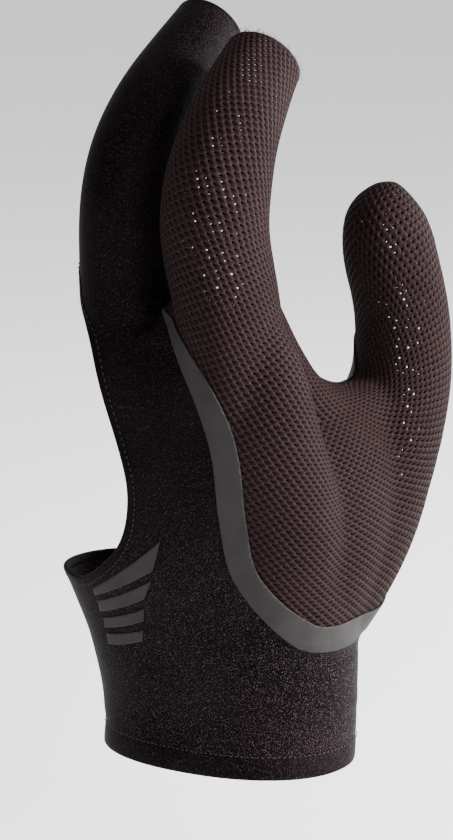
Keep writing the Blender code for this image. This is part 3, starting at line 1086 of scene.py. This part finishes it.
hemRing = []
for part in range(150):
    angle = 2 * math.pi * part / 150
    out = Vector((math.cos(angle), math.sin(angle), 0))
    hemRing.append(formTree.ray_cast(Vector((0, 0, hem["height"] / 2)), out)[0])
hemPath = eased(evenly(hemRing, 0.0012, True), 4, True)
bm = bmesh.new()
sweep(bm, hemPath, facing(hemPath, True), pillow(hem["height"], 0.00020, -0.00140, 28, 4.5), True)
cuffHem = finished("cuffHem", bm, lycraEdge)
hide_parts("cuff_hem")

middleBorder = loopNear((-0.012, -0.004, 0.180))
middleRim = eased(evenly(middleBorder, foldStep, True), 4, True)
bm = bmesh.new()
sweep(bm, middleRim, facing(middleRim, True), pillow(0.0016, 0.00016, -0.00112, 16, 2.6), True)
finished("middleRim", bm, lycraEdge)

print("stitches")
stitching = {"hemStep": 0.0013, "foldStep": 0.0016, "long": 0.00095, "thick": 0.00026}
bm = bmesh.new()
hemTop = []
for point in evenly(hemRing, stitching["hemStep"], True):
    out = Vector((point.x, point.y, 0)).normalized()
    hemTop.append(formTree.ray_cast(Vector((0, 0, hem["height"] - 0.0002)), out)[0])
addStitches(bm, hemTop, facing(hemTop, True), True, stitching["long"], stitching["thick"], 0.30, 0.00024)
finished("hemStitches", bm, thread)

bm = bmesh.new()
count = len(cutoutPath)
inner = []
for number in range(count):
    along = (cutoutPath[(number + 1) % count] - cutoutPath[number - 1]).normalized()
    across = along.cross(cutoutFacing[number])
    inner.append(cutoutPath[number] - across * 0.0009)
inner = evenly(inner, stitching["foldStep"], True)
inner = [formTree.find_nearest(point)[0] for point in inner]
addStitches(bm, inner, facing(inner, True), True, stitching["long"], 0.00022, 0.0, 0.00018)
finished("foldStitches", bm, thread)

print("seams")
ridge = [
    (0.00075, -0.0005),
    (0.00075, -0.00002),
    (0.00060, 0.00008),
    (0.00042, 0.00015),
    (0.00024, 0.00010),
    (0.00008, 0.00001),
    (-0.00008, 0.00001),
    (-0.00024, 0.00010),
    (-0.00042, 0.00015),
    (-0.00060, 0.00008),
    (-0.00075, -0.00002),
    (-0.00075, -0.0005),
]


def onPanel(point):
    # true where the point stands inside the mesh panel's outline
    inside = False
    for (ax, az), (bx, bz) in zip(meshSide, meshSide[1:] + meshSide[:1]):
        if (az > point.z) != (bz > point.z) and point.x < (bx - ax) * (point.z - az) / (bz - az) + ax:
            inside = not inside
    return inside


indexEnd = rowPoint(indexPath[-2])
indexAlong = (rowPoint(indexPath[-1]) - rowPoint(indexPath[-3])).normalized()
for name, rows in (("thumbSeam", thumbSlit), ("indexSeam", indexSlit)):
    line = slitLine(rows, 1.0)
    line = [point for point in line if onPanel(point) and (point - indexEnd).dot(indexAlong) < -0.0004]
    line = eased(evenly(line, 0.0008, False), 4, False)
    bm = bmesh.new()
    sweep(bm, line, facing(line, False), ridge, False)
    finished(name, bm, meshKnit)

print("band and stripes")
band = cutSheet("seamBand", form, keep=(bandCutter,))
shifted(band, seamBand["proud"])
band.data.materials.append(greyTape)
modifier(band, "SOLIDIFY", thickness=seamBand["thickness"], offset=-1)
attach(band, "root")
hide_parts("seam_band")


def stripeOutline(stripe):
    halfWrist = wrist["width"] / 2

    def edge(start, end):
        points = []
        for step in range(stripes["steps"] + 1):
            share = step / stripes["steps"]
            drop = stripes["sag"] * (end[0] - start[0]) * 4 * share * (1 - share)
            x = start[0] + (end[0] - start[0]) * share
            points.append((x, start[1] + (end[1] - start[1]) * share - drop))
        return points

    lower = edge(
        (halfWrist * stripe["left"], palm["knuckleHeight"] * stripe["low"]),
        (halfWrist * stripe["right"], palm["knuckleHeight"] * stripe["rise"]),
    )
    upper = edge(
        (halfWrist * stripe["left"], palm["knuckleHeight"] * stripe["high"]),
        (halfWrist * stripe["tip"], palm["knuckleHeight"] * stripe["top"]),
    )
    return lower + upper[::-1]


greyStripe = tapeMaterial("greyStripe")
for number, stripe in enumerate(stripeLines):
    shape = outlineCutter(f"stripeShape{number + 1}", stripeOutline(stripe), back=0)
    made = cutSheet(f"stripe{number + 1}", form, keep=(shape,))
    shifted(made, stripes["proud"])
    made.data.materials.append(greyStripe)
    modifier(made, "SOLIDIFY", thickness=stripes["thickness"], offset=-1)
    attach(made, "root")
    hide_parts(f"stripe_{number + 1}")
    bpy.data.objects.remove(shape)

print("fuzz")
fuzz = {"seed": 7, "fibres": 320, "long": 0.0016, "thick": 0.00004}
chance = random.Random(fuzz["seed"])
rimPlaces = []
for part in range(160):
    angle = 2 * math.pi * part / 160
    across = Vector((1, 0, 0))
    through = indexAlong.cross(across).normalized()
    out = across * math.cos(angle) + through * math.sin(angle)
    place, normal, face, far = formTree.ray_cast(indexEnd, out)
    if place:
        rimPlaces.append((place, normal))
bm = bmesh.new()
for number in range(fuzz["fibres"]):
    place, normal = rimPlaces[chance.randrange(len(rimPlaces))]
    root = place - normal * chance.uniform(0.0001, 0.0005) - indexAlong * 0.0003
    lean = indexAlong + normal * chance.uniform(-0.6, 0.8)
    lean += indexAlong.cross(normal) * chance.uniform(-0.9, 0.9)
    long = fuzz["long"] * chance.uniform(0.25, 1.0)
    bend = indexAlong.cross(normal) * chance.uniform(-0.5, 0.5) * long
    lean = lean.normalized() * long
    line = [root + lean * share + bend * share * share for share in (0, 0.35, 0.7, 1)]
    thick = fuzz["thick"]
    cross = [(thick, 0), (-thick / 2, thick * 0.87), (-thick / 2, -thick * 0.87)]
    sweep(bm, line, [normal] * 4, cross, False, 0.7)
finished("indexRawEdge", bm, fibre)

cutters = (indexFin, thumbFin, bandCutter, meshCutter, openingCutter, belowCutter, indexTip, middleTip)
for helper in (form, coarse, netSheet, *cutters):
    bpy.data.objects.remove(helper)

print("stage")
stage = {"floor": -0.045, "wide": 6.0}
bm = bmesh.new()
bmesh.ops.create_grid(bm, x_segments=1, y_segments=1, size=stage["wide"] / 2)
bmesh.ops.translate(bm, vec=(0, 0, stage["floor"]), verts=bm.verts)
floor = newObject("floor", bm)
floorMaterial = bpy.data.materials.new("paleFloor")
floorMaterial.use_nodes = True
floorShader = floorMaterial.node_tree.nodes["Principled BSDF"]
floorShader.inputs["Base Color"].default_value = (0.86, 0.86, 0.86, 1)
floorShader.inputs["Roughness"].default_value = 0.9
floor.data.materials.append(floorMaterial)

world = bpy.data.worlds.new("studio")
bpy.context.scene.world = world
world.use_nodes = True
world.node_tree.nodes["Background"].inputs["Color"].default_value = (1, 1, 1, 1)
world.node_tree.nodes["Background"].inputs["Strength"].default_value = 1.1

view = {"azimuth": 32, "elevation": 12, "place": (0.45694, -0.73244, 0.26733), "lens": 154.29}
turned = math.radians(view["azimuth"])
raised = math.radians(view["elevation"])
level = math.cos(raised)
sight = Vector((-math.sin(turned) * level, math.cos(turned) * level, -math.sin(raised)))
cameraData = bpy.data.cameras.new("camera")
cameraData.lens = view["lens"]
cameraData.sensor_width = 36
cameraData.sensor_fit = "AUTO"
cameraData.clip_start = 0.01
camera = bpy.data.objects.new("camera", cameraData)
bpy.context.scene.collection.objects.link(camera)
camera.location = view["place"]
camera.rotation_mode = "QUATERNION"
camera.rotation_quaternion = sight.to_track_quat("-Z", "Y")
bpy.context.scene.camera = camera

rightward = Vector((math.cos(turned), math.sin(turned), 0))
towards = Vector((math.sin(turned), -math.cos(turned), 0))
lamps = table(
    ("name", "right", "near", "up", "power", "size"),
    ("keyLight", 0.95, 0.26, 0.35, 62.0, 0.30),
    ("frontLight", 0.45, 0.85, 0.45, 5.0, 0.30),
    ("rimLight", 0.60, -0.50, 0.20, 6.0, 0.30),
)
target = Vector((0, 0, 0.09))
for lamp in lamps:
    data = bpy.data.lights.new(lamp["name"], "AREA")
    data.energy = lamp["power"]
    data.size = lamp["size"]
    light = bpy.data.objects.new(lamp["name"], data)
    bpy.context.scene.collection.objects.link(light)
    out = rightward * lamp["right"] + towards * lamp["near"]
    light.location = target + out + Vector((0, 0, lamp["up"]))
    light.rotation_mode = "QUATERNION"
    light.rotation_quaternion = (target - light.location).to_track_quat("-Z", "Y")
